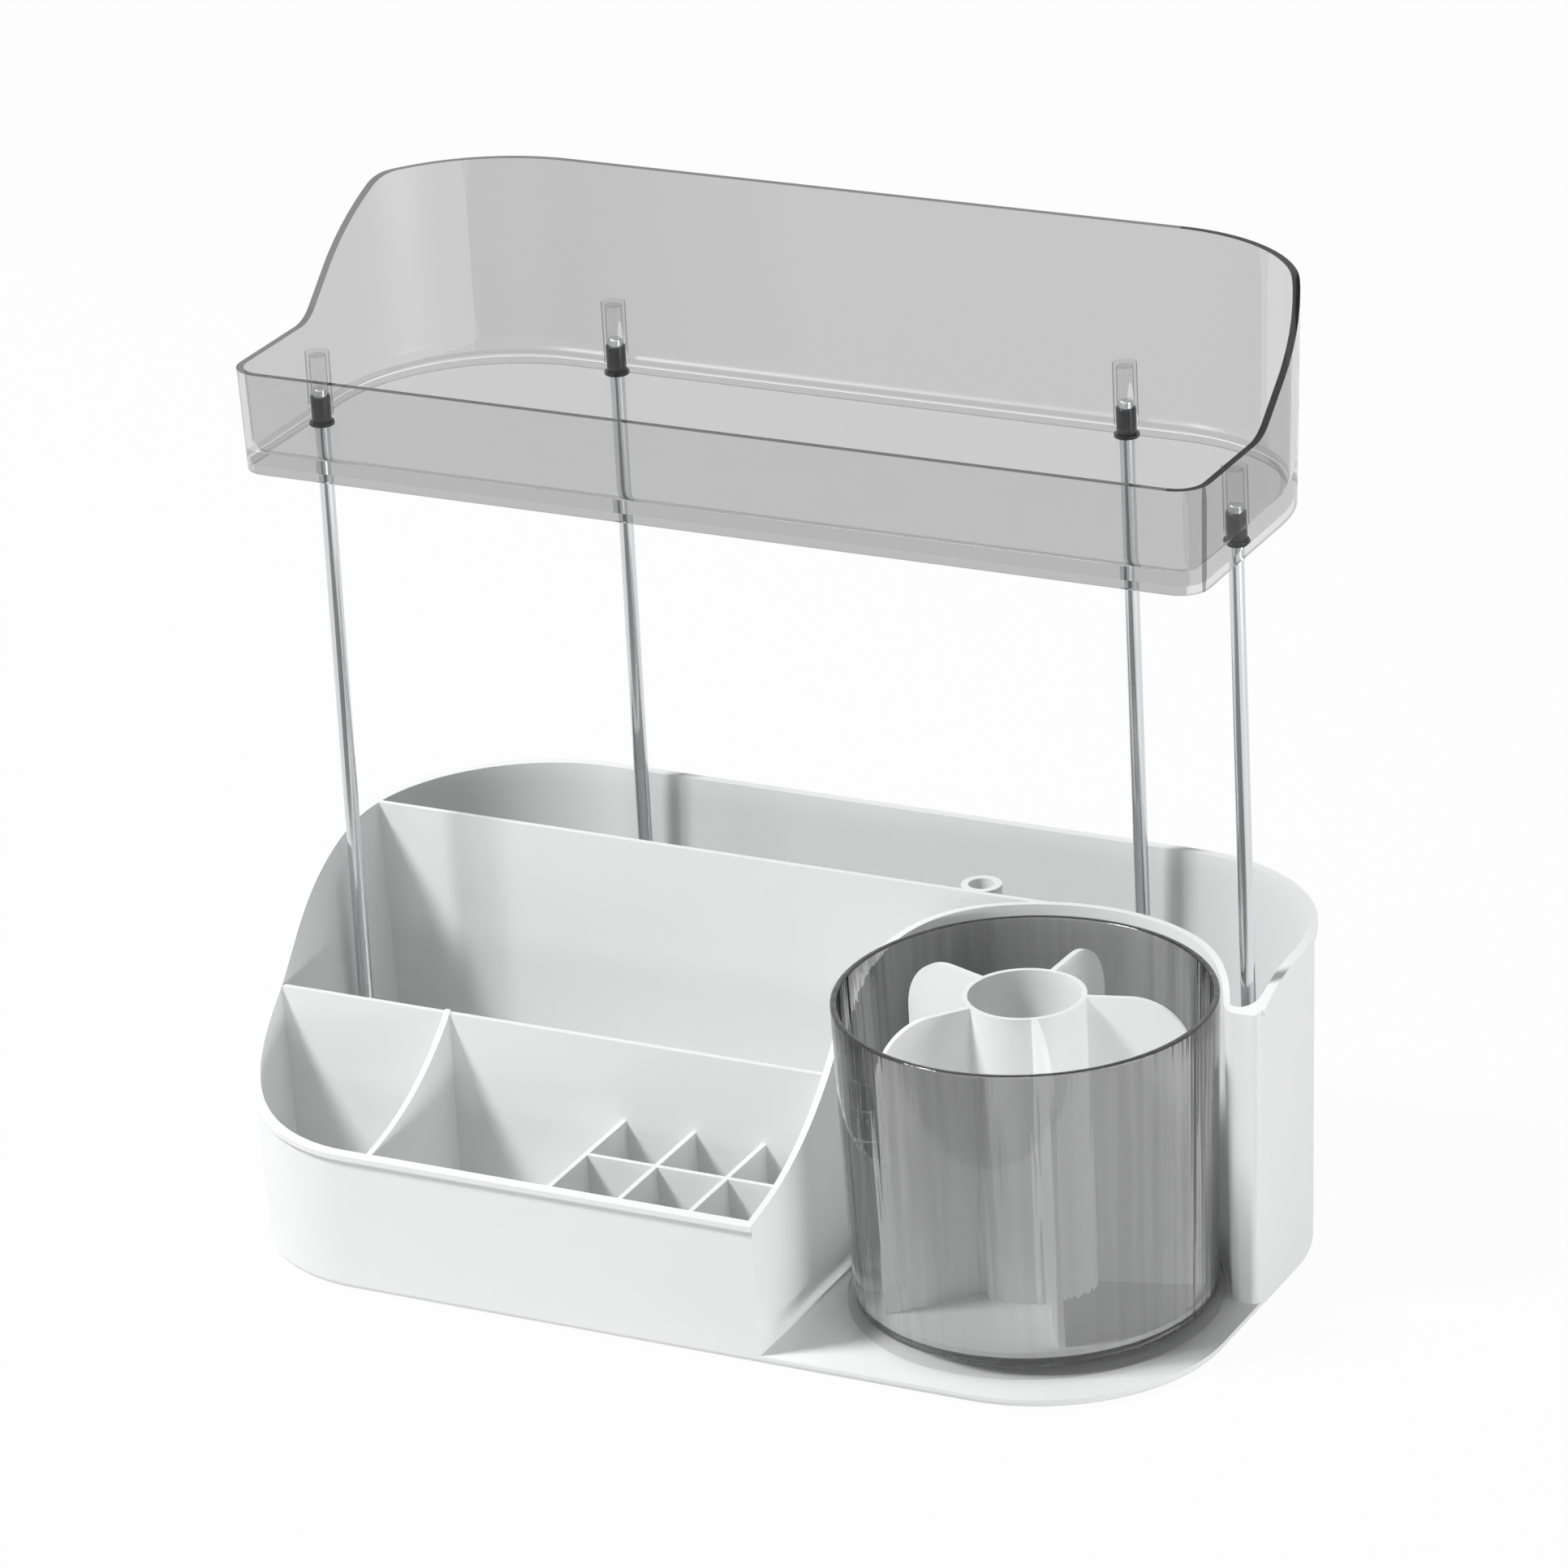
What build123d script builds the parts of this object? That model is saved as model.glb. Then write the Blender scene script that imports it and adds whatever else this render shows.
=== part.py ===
from build123d import *
import os
from math import radians, tan

# Two-tier makeup organizer. A white moulded base with compartments and a bay carries four steel posts,
# a smoked tray stands on the posts, and a smoked brush cup with a white divider turns in the bay.
# Millimetres, +Z up, +X to the right, -Y towards the user. The origin is the middle of the footprint on
# the table.

os.makedirs("parts", exist_ok=True)

# Base: a drafted tray whose rim swoops from a low front to a tall back
base_width = 317.0
base_depth = 175.0
base_back_height = 105.2
base_front_height = 46.6
front_left_radius = 49.0
corner_radius = 56.0
base_wall = 2.0
base_floor = 2.8
base_draft = 1.5
lip_out = 1.0
lip_height = 1.7
front_slope = 10.0
swoop_slope = 47.0
swoop_head_y = -0.8
swoop_foot_radius = 90.0
swoop_head_radius = 66.0
base_foot_round = 2.0

# Dividers and lipstick cells
divider = 1.8
divider_lap = 1.4
front_divider_y = -31.9
front_divider_top = 71.1
side_divider_x = -97.0
cell_rib = 1.6
cell_height = 45.0
cell_pitch = 23.45
cell_edge = 20.9
cell_middle_y = -57.3
cell_columns = 3
pen_tube_setback = 42.1
pen_tube_diameter = 12.4
pen_tube_bore = 8.0

# Bay for the cup
cup_gap_x = 1.0
cup_setback_y = 29.9
bay_shift_x = 0.9
bay_shift_y = 1.0
bay_clearance = 2.0
nose_setback = 11.3
nose_depth = 2.2
nose_radius = 5.0
nose_edge_radius = 2.5
pocket_radius = 5.8

# Posts, their sockets in the base, and the collars that hold the tray
post_diameter = 4.5
front_post_margin = 6.0
front_post_setback = 74.0
back_post_inset = 70.5
back_post_margin = 5.3
post_clearance = 0.05
socket_diameter = 9.0
socket_height = 24.0
collar_wall = 0.65
collar_height = 8.3
collar_flange = 7.8
collar_flange_thickness = 1.2
post_tip = 2.5

# Upper tray: the same plan idea, a low front and a tall back, with a boss over each post
tray_width = 311.0
tray_depth = 115.0
tray_setback = 5.2
tray_height = 238.8
tray_front_height = 31.7
tray_back_height = 66.2
tray_front_radius = 8.6
tray_back_radius = 54.0
tray_wall = 2.2
tray_floor = 2.2
tray_skirt = 2.4
skirt_wall = 1.0
tray_draft = 2.0
tray_slope = 40.5
tray_slope_y = 13.5
tray_low_radius = 14.0
tray_high_radius = 12.0
tray_cove = 5.0
boss_diameter = 7.4
boss_height = 20.0
boss_roof = 1.2
boss_clearance = 0.1
tip_clearance = 0.3

# Turntable, pivot and cup
track_radius = 40.0
track_width = 4.0
track_height = 1.2
turntable_diameter = 112.0
turntable_thickness = 3.0
turntable_spigot_height = 0.8
turntable_edge = 0.8
pivot_diameter = 12.0
pivot_clearance = 0.06
pivot_web = 1.4
pivot_play = 0.1
pivot_well_diameter = 22.0
washer_diameter = 16.0
washer_thickness = 0.6
screw_diameter = 2.9
screw_length = 4.6
screw_head_diameter = 7.0
screw_head_height = 1.4
screw_slot_width = 1.0
screw_slot_depth = 0.6
cup_top_diameter = 114.0
cup_foot_diameter = 108.0
cup_height = 94.7
cup_wall = 2.0
cup_floor = 1.6
cup_recess_diameter = 96.0
cup_recess_height = 1.0
cup_recess_clearance = 0.3
cup_foot_round = 1.4
cup_rim_round = 0.7

# White divider that stands in the cup
insert_tube_diameter = 36.6
insert_wall = 1.5
insert_floor = 1.6
insert_clearance = 0.5
fin_count = 5
fin_thickness = 1.8
fin_reach = 49.0
fin_radius = 18.0
fin_turn = -56.5

# Feet
foot_diameter = 10.0
foot_thickness = 1.6
foot_lift = 0.8
foot_margin_x = 33.5
foot_margin_y = 29.5
foot_columns = 3
foot_rows = 2

# One run-past for every cut
overrun = 12.0

# Places worked out from the sizes above: the posts stand under the tray, and the bay keeps clear of a post
tray_back_y = base_depth / 2 - tray_setback
front_post_x = tray_width / 2 - front_post_margin
front_post_y = tray_back_y - front_post_setback
back_post_x = tray_width / 2 - back_post_inset
back_post_y = tray_back_y - back_post_margin
cup_x = front_post_x - cup_top_diameter / 2 - cup_gap_x
cup_y = front_post_y - cup_setback_y
bay_x = cup_x - bay_shift_x
bay_y = cup_y - bay_shift_y
bay_radius = cup_top_diameter / 2 + bay_clearance
nose_y = front_post_y - nose_setback
pocket_y = nose_y + nose_depth + pocket_radius
pen_tube_x = bay_x - pen_tube_setback
back_divider_y = bay_y + bay_radius - divider_lap
foot_spacing_x = (base_width - 2 * foot_margin_x) / (foot_columns - 1)
foot_spacing_y = (base_depth - 2 * foot_margin_y) / (foot_rows - 1)

# Heights worked out from the sizes above
floor_top = foot_lift + base_floor
foot_width = base_width - 2 * lip_out - 2 * (base_back_height - foot_lift) * tan(radians(base_draft))
nose_edge_x = foot_width / 2 + base_floor * tan(radians(base_draft)) - nose_edge_radius
bay_wall_x = bay_x - bay_radius
turntable_z = floor_top + track_height
turntable_top = turntable_z + turntable_thickness
pivot_top = turntable_z + pivot_web + pivot_play
cup_inside = turntable_top + cup_recess_height + cup_floor
cup_top = turntable_top + cup_height
tray_underside = tray_height + tray_skirt
tray_inside = tray_underside + tray_floor
collar_top = tray_underside + collar_height
post_top = collar_top + post_tip
boss_top = tray_inside + boss_height
collar_diameter = post_diameter + 2 * (post_clearance + collar_wall)
post_places = {
    "front_left": (-front_post_x, front_post_y),
    "front_right": (front_post_x, front_post_y),
    "back_left": (-back_post_x, back_post_y),
    "back_right": (back_post_x, back_post_y),
}


def rounded_plan(width, front, back, level, grow, radii):
    """Plan of a drafted tray at one level, grown or drawn in all round, with its own radius at each corner."""
    with BuildSketch(Plane.XY.offset(level)) as plan:
        with Locations((0, (front + back) / 2)):
            Rectangle(width + 2 * grow, back - front + 2 * grow)
        for row, column, radius in radii:
            corner = plan.vertices().group_by(Axis.Y)[row].sort_by(Axis.X)[column]
            fillet(corner, radius + grow)
    return plan.sketch


def base_plan(level, inset):
    """Plan of the base at a level, where the draft has widened it, drawn in by an inset."""
    lean = tan(radians(base_draft))
    front = -base_depth / 2 + lip_out + (base_front_height - foot_lift) * lean
    back = base_depth / 2 - lip_out - (base_back_height - foot_lift) * lean
    radii = [
        (0, 0, front_left_radius),
        (0, -1, corner_radius),
        (-1, 0, corner_radius),
        (-1, -1, corner_radius),
    ]
    return rounded_plan(foot_width, front, back, level, (level - foot_lift) * lean - inset, radii)


def tray_plan(level, inset):
    """Plan of the upper tray at a level, drawn in by an inset."""
    lean = tan(radians(tray_draft))
    radii = [
        (0, 0, tray_front_radius),
        (0, -1, tray_front_radius),
        (-1, 0, tray_back_radius),
        (-1, -1, tray_back_radius),
    ]
    front = tray_back_y - tray_depth
    return rounded_plan(tray_width, front, tray_back_y, level, (level - tray_height) * lean - inset, radii)


def swoop_corners(drop):
    """Corners of the base's rim seen from the side: front slope, swoop, level back."""
    front, back = -base_depth, base_depth / 2 + overrun
    low, steep = tan(radians(front_slope)), tan(radians(swoop_slope))
    rise = base_back_height - base_front_height
    foot_y = (low * base_depth / 2 + steep * swoop_head_y - rise) / (steep - low)
    foot_z = base_front_height + low * (foot_y + base_depth / 2)
    return [
        (front, base_front_height + low * (front + base_depth / 2) - drop),
        (foot_y, foot_z - drop),
        (swoop_head_y, base_back_height - drop),
        (back, base_back_height - drop),
    ]


# Bay: open to the front and the right, round behind the cup
with BuildPart() as bay:
    with BuildSketch(Plane.XY.offset(floor_top)) as bay_plan:
        with Locations((bay_x, bay_y)):
            Circle(bay_radius)
        with Locations((bay_wall_x, bay_y)):
            Rectangle(base_width, base_depth, align=(Align.MIN, Align.MAX))
        with Locations((bay_x, nose_y)):
            Rectangle(base_width, base_depth, align=(Align.MIN, Align.MAX))
        fillet(bay_plan.vertices().sort_by_distance((bay_x + bay_radius, nose_y, 0))[0], nose_radius)
    extrude(amount=base_back_height)
    # The nose's outer edge is rounded off along the leaning outer wall
    with BuildSketch(Plane.XY.offset(floor_top)):
        with Locations((nose_edge_x, nose_y)):
            Rectangle(overrun, nose_edge_radius, align=(Align.MIN, Align.MIN))
        with Locations((nose_edge_x, nose_y + nose_edge_radius)):
            Circle(nose_edge_radius, mode=Mode.SUBTRACT)
    extrude(amount=base_back_height, dir=(tan(radians(base_draft)), 0, 1))

# Lip: a thin band round the outside of the base, just under its rim
with BuildPart() as lip:
    extrude(base_plan(foot_lift, -lip_out), amount=base_back_height, taper=-base_draft)
    with BuildSketch(Plane.YZ):
        with BuildLine():
            rim = swoop_corners(lip_height)
            FilletPolyline(*rim, radius=[swoop_foot_radius, swoop_head_radius])
            Polyline(rim[-1], (rim[-1][0], 0), (rim[0][0], 0), rim[0])
        make_face()
    extrude(amount=base_width, both=True, mode=Mode.SUBTRACT)

# Hollow: the air inside the base, with dividers, ribs and sockets left standing in it
with BuildPart() as hollow:
    extrude(base_plan(floor_top, base_wall), amount=base_back_height - floor_top + overrun, taper=-base_draft)
    with BuildSketch(Plane.XY.offset(floor_top)):
        with Locations((bay_x, back_divider_y)):
            Rectangle(base_width, divider, align=(Align.MAX, Align.CENTER))
        with Locations((side_divider_x, front_divider_y)):
            Rectangle(divider, base_depth, align=(Align.CENTER, Align.MAX))
        with Locations((bay_wall_x, bay_y)):
            Rectangle(base_wall, base_depth, align=(Align.MAX, Align.MAX))
        # The pocket behind the nose ends in a half round in front of its post
        with Locations((bay_x, pocket_y)):
            Rectangle(base_width, bay_radius, align=(Align.MIN, Align.MAX))
        with Locations((front_post_x, pocket_y)):
            Circle(pocket_radius, mode=Mode.SUBTRACT)
        with Locations((bay_x, bay_y)):
            Circle(bay_radius + base_wall)
        with Locations((pen_tube_x, back_divider_y + pen_tube_diameter / 2)):
            Circle(pen_tube_diameter / 2)
    extrude(amount=base_back_height + overrun, mode=Mode.SUBTRACT)
    with BuildSketch(Plane.XY.offset(floor_top)):
        with Locations((bay_wall_x, front_divider_y)):
            Rectangle(base_width, divider, align=(Align.MAX, Align.CENTER))
    extrude(amount=front_divider_top - floor_top, mode=Mode.SUBTRACT)
    with BuildSketch(Plane.XY.offset(floor_top)):
        for column in range(cell_columns):
            with Locations((bay_wall_x - base_wall - cell_edge - column * cell_pitch, front_divider_y)):
                Rectangle(cell_rib, base_depth, align=(Align.CENTER, Align.MAX))
        with Locations((bay_wall_x - base_wall, cell_middle_y)):
            Rectangle(cell_edge + (cell_columns - 1) * cell_pitch, cell_rib, align=(Align.MAX, Align.CENTER))
    extrude(amount=cell_height - floor_top, mode=Mode.SUBTRACT)
    with BuildSketch(Plane.XY.offset(floor_top)):
        with Locations(*post_places.values()):
            Circle(socket_diameter / 2)
    extrude(amount=socket_height, mode=Mode.SUBTRACT)
    with BuildSketch(Plane.XY.offset(floor_top)):
        with Locations(*post_places.values()):
            Circle(post_diameter / 2 + post_clearance)
        with Locations((pen_tube_x, back_divider_y + pen_tube_diameter / 2)):
            Circle(pen_tube_bore / 2)
    extrude(amount=base_back_height + overrun)

with BuildPart() as base:
    extrude(base_plan(foot_lift, 0), amount=base_back_height, taper=-base_draft)
    fillet(base.faces().sort_by(Axis.Z)[0].edges(), base_foot_round)
    add(lip.part)
    add(bay.part, mode=Mode.SUBTRACT)
    add(hollow.part, mode=Mode.SUBTRACT)
    # Rim: one swoop trims every wall and divider
    with BuildSketch(Plane.YZ):
        with BuildLine():
            rim = swoop_corners(0)
            over = base_back_height + overrun
            FilletPolyline(*rim, radius=[swoop_foot_radius, swoop_head_radius])
            Polyline(rim[-1], (rim[-1][0], over), (rim[0][0], over), rim[0])
        make_face()
    extrude(amount=base_width, both=True, mode=Mode.SUBTRACT)
    # Pivot and bearing track under the turntable
    with BuildSketch(Plane.XY.offset(floor_top)):
        with Locations((cup_x, cup_y)):
            Circle(pivot_diameter / 2)
    extrude(amount=pivot_top - floor_top)
    with BuildSketch(Plane.XY.offset(floor_top)):
        with Locations((cup_x, cup_y)):
            Circle(track_radius + track_width / 2)
            Circle(track_radius - track_width / 2, mode=Mode.SUBTRACT)
    extrude(amount=track_height)
    with Locations(Plane.XY.offset(pivot_top)):
        with Locations((cup_x, cup_y)):
            Hole(screw_diameter / 2 + post_clearance, depth=screw_length)
    # Shallow seats for the feet
    with BuildSketch(Plane.XY.offset(foot_lift)):
        with GridLocations(foot_spacing_x, foot_spacing_y, foot_columns, foot_rows):
            Circle(foot_diameter / 2 + post_clearance)
    extrude(amount=foot_thickness - foot_lift, mode=Mode.SUBTRACT)
base.part.label = "base"
export_step(base.part, "parts/base.step")

with BuildPart() as upper_tray:
    extrude(tray_plan(tray_height, 0), amount=tray_back_height + overrun / 2, taper=-tray_draft)
    extrude(
        tray_plan(tray_inside, tray_wall),
        amount=tray_back_height + overrun,
        taper=-tray_draft,
        mode=Mode.SUBTRACT,
    )
    inside_floor = upper_tray.faces().filter_by(Plane.XY).sort_by(Axis.Z)[1]
    fillet(inside_floor.edges(), tray_cove)
    extrude(tray_plan(tray_height, skirt_wall), amount=tray_skirt, mode=Mode.SUBTRACT)
    # Rim: level front and sides, then a slope up to the back wall
    with BuildSketch(Plane.YZ):
        with BuildLine():
            low, high = tray_height + tray_front_height, tray_height + tray_back_height
            front, back = tray_back_y - tray_depth - overrun, tray_back_y + overrun
            slope_end = tray_slope_y + (high - low) / tan(radians(tray_slope))
            edge = [(front, low), (tray_slope_y, low), (slope_end, high), (back, high)]
            FilletPolyline(*edge, radius=[tray_low_radius, tray_high_radius])
            Polyline(edge[-1], (back, high + overrun), (front, high + overrun), edge[0])
        make_face()
    extrude(amount=tray_width, both=True, mode=Mode.SUBTRACT)
    # Bosses: each one takes a collar from below and is closed on top
    with BuildSketch(Plane.XY.offset(tray_underside)):
        with Locations(*post_places.values()):
            Circle(boss_diameter / 2)
    extrude(amount=boss_top - tray_underside)
    with BuildSketch(Plane.XY.offset(tray_underside)):
        with Locations(*post_places.values()):
            Circle(collar_diameter / 2 + boss_clearance)
    extrude(amount=collar_height + boss_clearance, mode=Mode.SUBTRACT)
    with BuildSketch(Plane.XY.offset(collar_top)):
        with Locations(*post_places.values()):
            Circle(post_diameter / 2 + tip_clearance)
    extrude(amount=boss_top - boss_roof - collar_top, mode=Mode.SUBTRACT)
upper_tray.part.label = "upper_tray"
export_step(upper_tray.part, "parts/upper_tray.step")

for place, (x, y) in post_places.items():
    with BuildPart() as post:
        with BuildSketch(Plane.XY.offset(floor_top)):
            with Locations((x, y)):
                Circle(post_diameter / 2)
        extrude(amount=post_top - floor_top)
    post.part.label = "post_" + place
    export_step(post.part, "parts/post_" + place + ".step")

    with BuildPart() as collar:
        with BuildSketch(Plane.XY.offset(tray_underside - collar_flange_thickness)):
            with Locations((x, y)):
                Circle(collar_flange / 2)
        extrude(amount=collar_flange_thickness)
        with BuildSketch(Plane.XY.offset(tray_underside)):
            with Locations((x, y)):
                Circle(collar_diameter / 2)
        extrude(amount=collar_height)
        with BuildSketch(Plane.XY.offset(tray_underside - collar_flange_thickness)):
            with Locations((x, y)):
                Circle(post_diameter / 2 + post_clearance)
        extrude(amount=collar_flange_thickness + collar_height, mode=Mode.SUBTRACT)
    collar.part.label = "collar_" + place
    export_step(collar.part, "parts/collar_" + place + ".step")

cup_axis = Plane(origin=(cup_x, cup_y, 0), x_dir=(1, 0, 0), z_dir=(0, -1, 0))

with BuildPart() as turntable:
    with BuildSketch(cup_axis):
        with BuildLine():
            Polyline(
                (pivot_diameter / 2 + pivot_clearance, turntable_z),
                (turntable_diameter / 2, turntable_z),
                (turntable_diameter / 2, turntable_top),
                (cup_recess_diameter / 2 - cup_recess_clearance, turntable_top),
                (cup_recess_diameter / 2 - cup_recess_clearance, turntable_top + turntable_spigot_height),
                (pivot_well_diameter / 2, turntable_top + turntable_spigot_height),
                (pivot_well_diameter / 2, turntable_z + pivot_web),
                (pivot_diameter / 2 + pivot_clearance, turntable_z + pivot_web),
                close=True,
            )
        make_face()
    revolve(axis=Axis((cup_x, cup_y, 0), (0, 0, 1)))
    rim_edges = turntable.edges().filter_by(GeomType.CIRCLE).group_by(SortBy.RADIUS)[-1]
    fillet(rim_edges, turntable_edge)
turntable.part.label = "turntable"
export_step(turntable.part, "parts/turntable.step")

with BuildPart() as pivot_washer:
    with BuildSketch(Plane.XY.offset(pivot_top)):
        with Locations((cup_x, cup_y)):
            Circle(washer_diameter / 2)
            Circle(screw_diameter / 2 + post_clearance, mode=Mode.SUBTRACT)
    extrude(amount=washer_thickness)
pivot_washer.part.label = "pivot_washer"
export_step(pivot_washer.part, "parts/pivot_washer.step")

with BuildPart() as pivot_screw:
    head_z = pivot_top + washer_thickness
    with BuildSketch(Plane.XY.offset(head_z)):
        with Locations((cup_x, cup_y)):
            Circle(screw_head_diameter / 2)
    extrude(amount=screw_head_height)
    with BuildSketch(Plane.XY.offset(head_z)):
        with Locations((cup_x, cup_y)):
            Circle(screw_diameter / 2)
    extrude(amount=-screw_length)
    with BuildSketch(Plane.XY.offset(head_z + screw_head_height)):
        with Locations((cup_x, cup_y)):
            Rectangle(screw_head_diameter, screw_slot_width)
    extrude(amount=-screw_slot_depth, mode=Mode.SUBTRACT)
pivot_screw.part.label = "pivot_screw"
export_step(pivot_screw.part, "parts/pivot_screw.step")

with BuildPart() as cup:
    lean = (cup_top_diameter - cup_foot_diameter) / 2 / cup_height
    inner_foot = cup_foot_diameter / 2 - cup_wall + lean * (cup_inside - turntable_top)
    with BuildSketch(cup_axis) as cup_profile:
        with BuildLine():
            Polyline(
                (0, turntable_top + cup_recess_height),
                (cup_recess_diameter / 2, turntable_top + cup_recess_height),
                (cup_recess_diameter / 2, turntable_top),
                (cup_foot_diameter / 2, turntable_top),
                (cup_top_diameter / 2, cup_top),
                (cup_top_diameter / 2 - cup_wall, cup_top),
                (inner_foot, cup_inside),
                (0, cup_inside),
                close=True,
            )
        make_face()
        fillet(cup_profile.vertices().group_by(Axis.Y)[-1], cup_rim_round)
        fillet(cup_profile.vertices().group_by(Axis.Y)[0].sort_by(Axis.X)[-1], cup_foot_round)
    revolve(axis=Axis((cup_x, cup_y, 0), (0, 0, 1)))
cup.part.label = "cup"
export_step(cup.part, "parts/cup.step")

with BuildPart() as cup_insert:
    with BuildSketch(Plane.XY.offset(cup_inside)):
        with Locations((cup_x, cup_y)):
            Circle(inner_foot - insert_clearance)
    extrude(amount=insert_floor)
    with BuildSketch(Plane.XY.offset(cup_inside)):
        with Locations((cup_x, cup_y)):
            Circle(insert_tube_diameter / 2)
    extrude(amount=cup_top - cup_inside)
    for fin in range(fin_count):
        run = Vector(1, 0, 0).rotate(Axis.Z, fin_turn + fin * 360 / fin_count)
        fin_plane = Plane(origin=(cup_x, cup_y, cup_inside), x_dir=run, z_dir=run.rotate(Axis.Z, -90))
        with BuildSketch(fin_plane) as petal:
            Rectangle(fin_reach, cup_top - cup_inside, align=(Align.MIN, Align.MIN))
            fillet(petal.vertices().group_by(Axis.Y)[-1].sort_by(Axis.X)[-1], fin_radius)
        extrude(amount=fin_thickness / 2, both=True)
    with BuildSketch(Plane.XY.offset(cup_inside + insert_floor)):
        with Locations((cup_x, cup_y)):
            Circle(insert_tube_diameter / 2 - insert_wall)
    extrude(amount=cup_height, mode=Mode.SUBTRACT)
cup_insert.part.label = "cup_insert"
export_step(cup_insert.part, "parts/cup_insert.step")

with GridLocations(foot_spacing_x, foot_spacing_y, foot_columns, foot_rows) as foot_grid:
    foot_places = [(spot.position.X, spot.position.Y) for spot in foot_grid.locations]
for number, (x, y) in enumerate(foot_places, start=1):
    with BuildPart() as foot:
        with BuildSketch(Plane.XY):
            with Locations((x, y)):
                Circle(foot_diameter / 2)
        extrude(amount=foot_thickness)
    foot.part.label = "foot_" + str(number)
    export_step(foot.part, "parts/foot_" + str(number) + ".step")
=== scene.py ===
import math

import bmesh
import bpy
from mathutils import Matrix, Vector


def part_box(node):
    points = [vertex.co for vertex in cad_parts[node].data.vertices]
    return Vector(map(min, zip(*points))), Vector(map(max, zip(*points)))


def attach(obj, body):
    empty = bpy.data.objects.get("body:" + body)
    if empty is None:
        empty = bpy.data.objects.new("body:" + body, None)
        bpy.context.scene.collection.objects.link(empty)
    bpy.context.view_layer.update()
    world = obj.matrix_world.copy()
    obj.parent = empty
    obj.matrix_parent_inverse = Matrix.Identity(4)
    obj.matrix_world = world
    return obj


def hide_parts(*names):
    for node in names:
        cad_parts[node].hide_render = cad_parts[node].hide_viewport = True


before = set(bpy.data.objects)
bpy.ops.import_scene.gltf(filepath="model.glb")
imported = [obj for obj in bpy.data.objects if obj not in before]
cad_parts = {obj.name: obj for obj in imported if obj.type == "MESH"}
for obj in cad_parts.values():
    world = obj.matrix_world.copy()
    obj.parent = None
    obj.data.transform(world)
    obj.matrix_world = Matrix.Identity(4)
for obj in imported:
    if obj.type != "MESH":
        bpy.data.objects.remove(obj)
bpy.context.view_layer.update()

MM = 0.001

# Points this close are one point: in a turned piece, and in the loose triangles of a CAD node
WELD = 0.001 * MM
CAD_WELD = 0.002 * MM
# Edges that turn by more than this, in degrees, stay sharp: in a turned piece, and in a moulding
TURNED_SHARP = 35
MOULDED_SHARP = 25
# Straight steps in one rounded corner of a profile
ARC_STEPS = 6
# Segments round a slim piece, the disc and the cup
SLIM_SEGMENTS = 48
DISC_SEGMENTS = 160
CUP_SEGMENTS = 320

SIDES = ["front_left", "front_right", "back_left", "back_right"]

# Levels of the tray: underside and top of its floor, and top of the band at the foot of its front wall
FLOOR_LOW = 241.2 * MM
FLOOR_TOP = 243.4 * MM
BAND_TOP = 246 * MM


def linear(code):
    """Linear colour of an sRGB hex value such as F0F0F0."""
    shares = [int(code[i:i + 2], 16) / 255 for i in (0, 2, 4)]
    return [s / 12.92 if s <= 0.04045 else ((s + 0.055) / 1.055) ** 2.4 for s in shares] + [1.0]


def add(tree, kind, values=None, links=None, **settings):
    """Adds a node to a tree, with its settings, its plain input values and its links."""
    made = tree.nodes.new(kind)
    for key, value in settings.items():
        setattr(made, key, value)
    for key, value in (values or {}).items():
        made.inputs[key].default_value = value
    for key, source in (links or {}).items():
        tree.links.new(source, made.inputs[key])
    return made


def new_material(name):
    """An empty node material, with its tree and its output node."""
    finish = bpy.data.materials.new(name)
    finish.use_nodes = True
    finish.node_tree.nodes.clear()
    return finish, finish.node_tree, add(finish.node_tree, "ShaderNodeOutputMaterial")


def moulded_abs():
    """Injection-moulded ABS: an even opaque white with a soft satin gloss and a faint mould grain."""
    finish, tree, out = new_material("abs_injection_moulded_white")
    place = add(tree, "ShaderNodeTexCoord").outputs["Object"]
    # Flow of the melt, about 60 mm across, changes the white by a hair
    flow = add(tree, "ShaderNodeTexNoise", {"Scale": 1 / (60 * MM), "Detail": 3.0}, {"Vector": place})
    tint = add(tree, "ShaderNodeMix", {"A": linear("F0F0F0"), "B": linear("EBECEC")},
               {"Factor": flow.outputs["Fac"]}, data_type="RGBA")
    # Spark-eroded mould grain, really 0.1 mm, drawn at 0.5 mm so that it shows
    grain = add(tree, "ShaderNodeTexNoise", {"Scale": 1 / (0.5 * MM), "Detail": 2.0}, {"Vector": place})
    rough = add(tree, "ShaderNodeMapRange", {"To Min": 0.34, "To Max": 0.46},
                {"Value": grain.outputs["Fac"]})
    bump = add(tree, "ShaderNodeBump", {"Strength": 0.06, "Distance": 0.05 * MM},
               {"Height": grain.outputs["Fac"]})
    surface = add(tree, "ShaderNodeBsdfPrincipled", {"IOR": 1.53},
                  {"Base Color": tint.outputs["Result"], "Roughness": rough.outputs["Result"],
                   "Normal": bump.outputs["Normal"]})
    tree.links.new(surface.outputs["BSDF"], out.inputs["Surface"])
    return finish


def turned_away(tree, start, end, least):
    """How far a wall turns away, where the eye looks through more of its dye and where the cup's painted
    reflection
    streaks grow: the least share up to the start of the turn, and all of it from its end on."""
    away = add(tree, "ShaderNodeLayerWeight", {"Blend": 0.5}).outputs["Facing"]
    return add(tree, "ShaderNodeMapRange", {"From Min": start, "From Max": end, "To Min": least},
               {"Value": away}).outputs["Result"]


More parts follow.
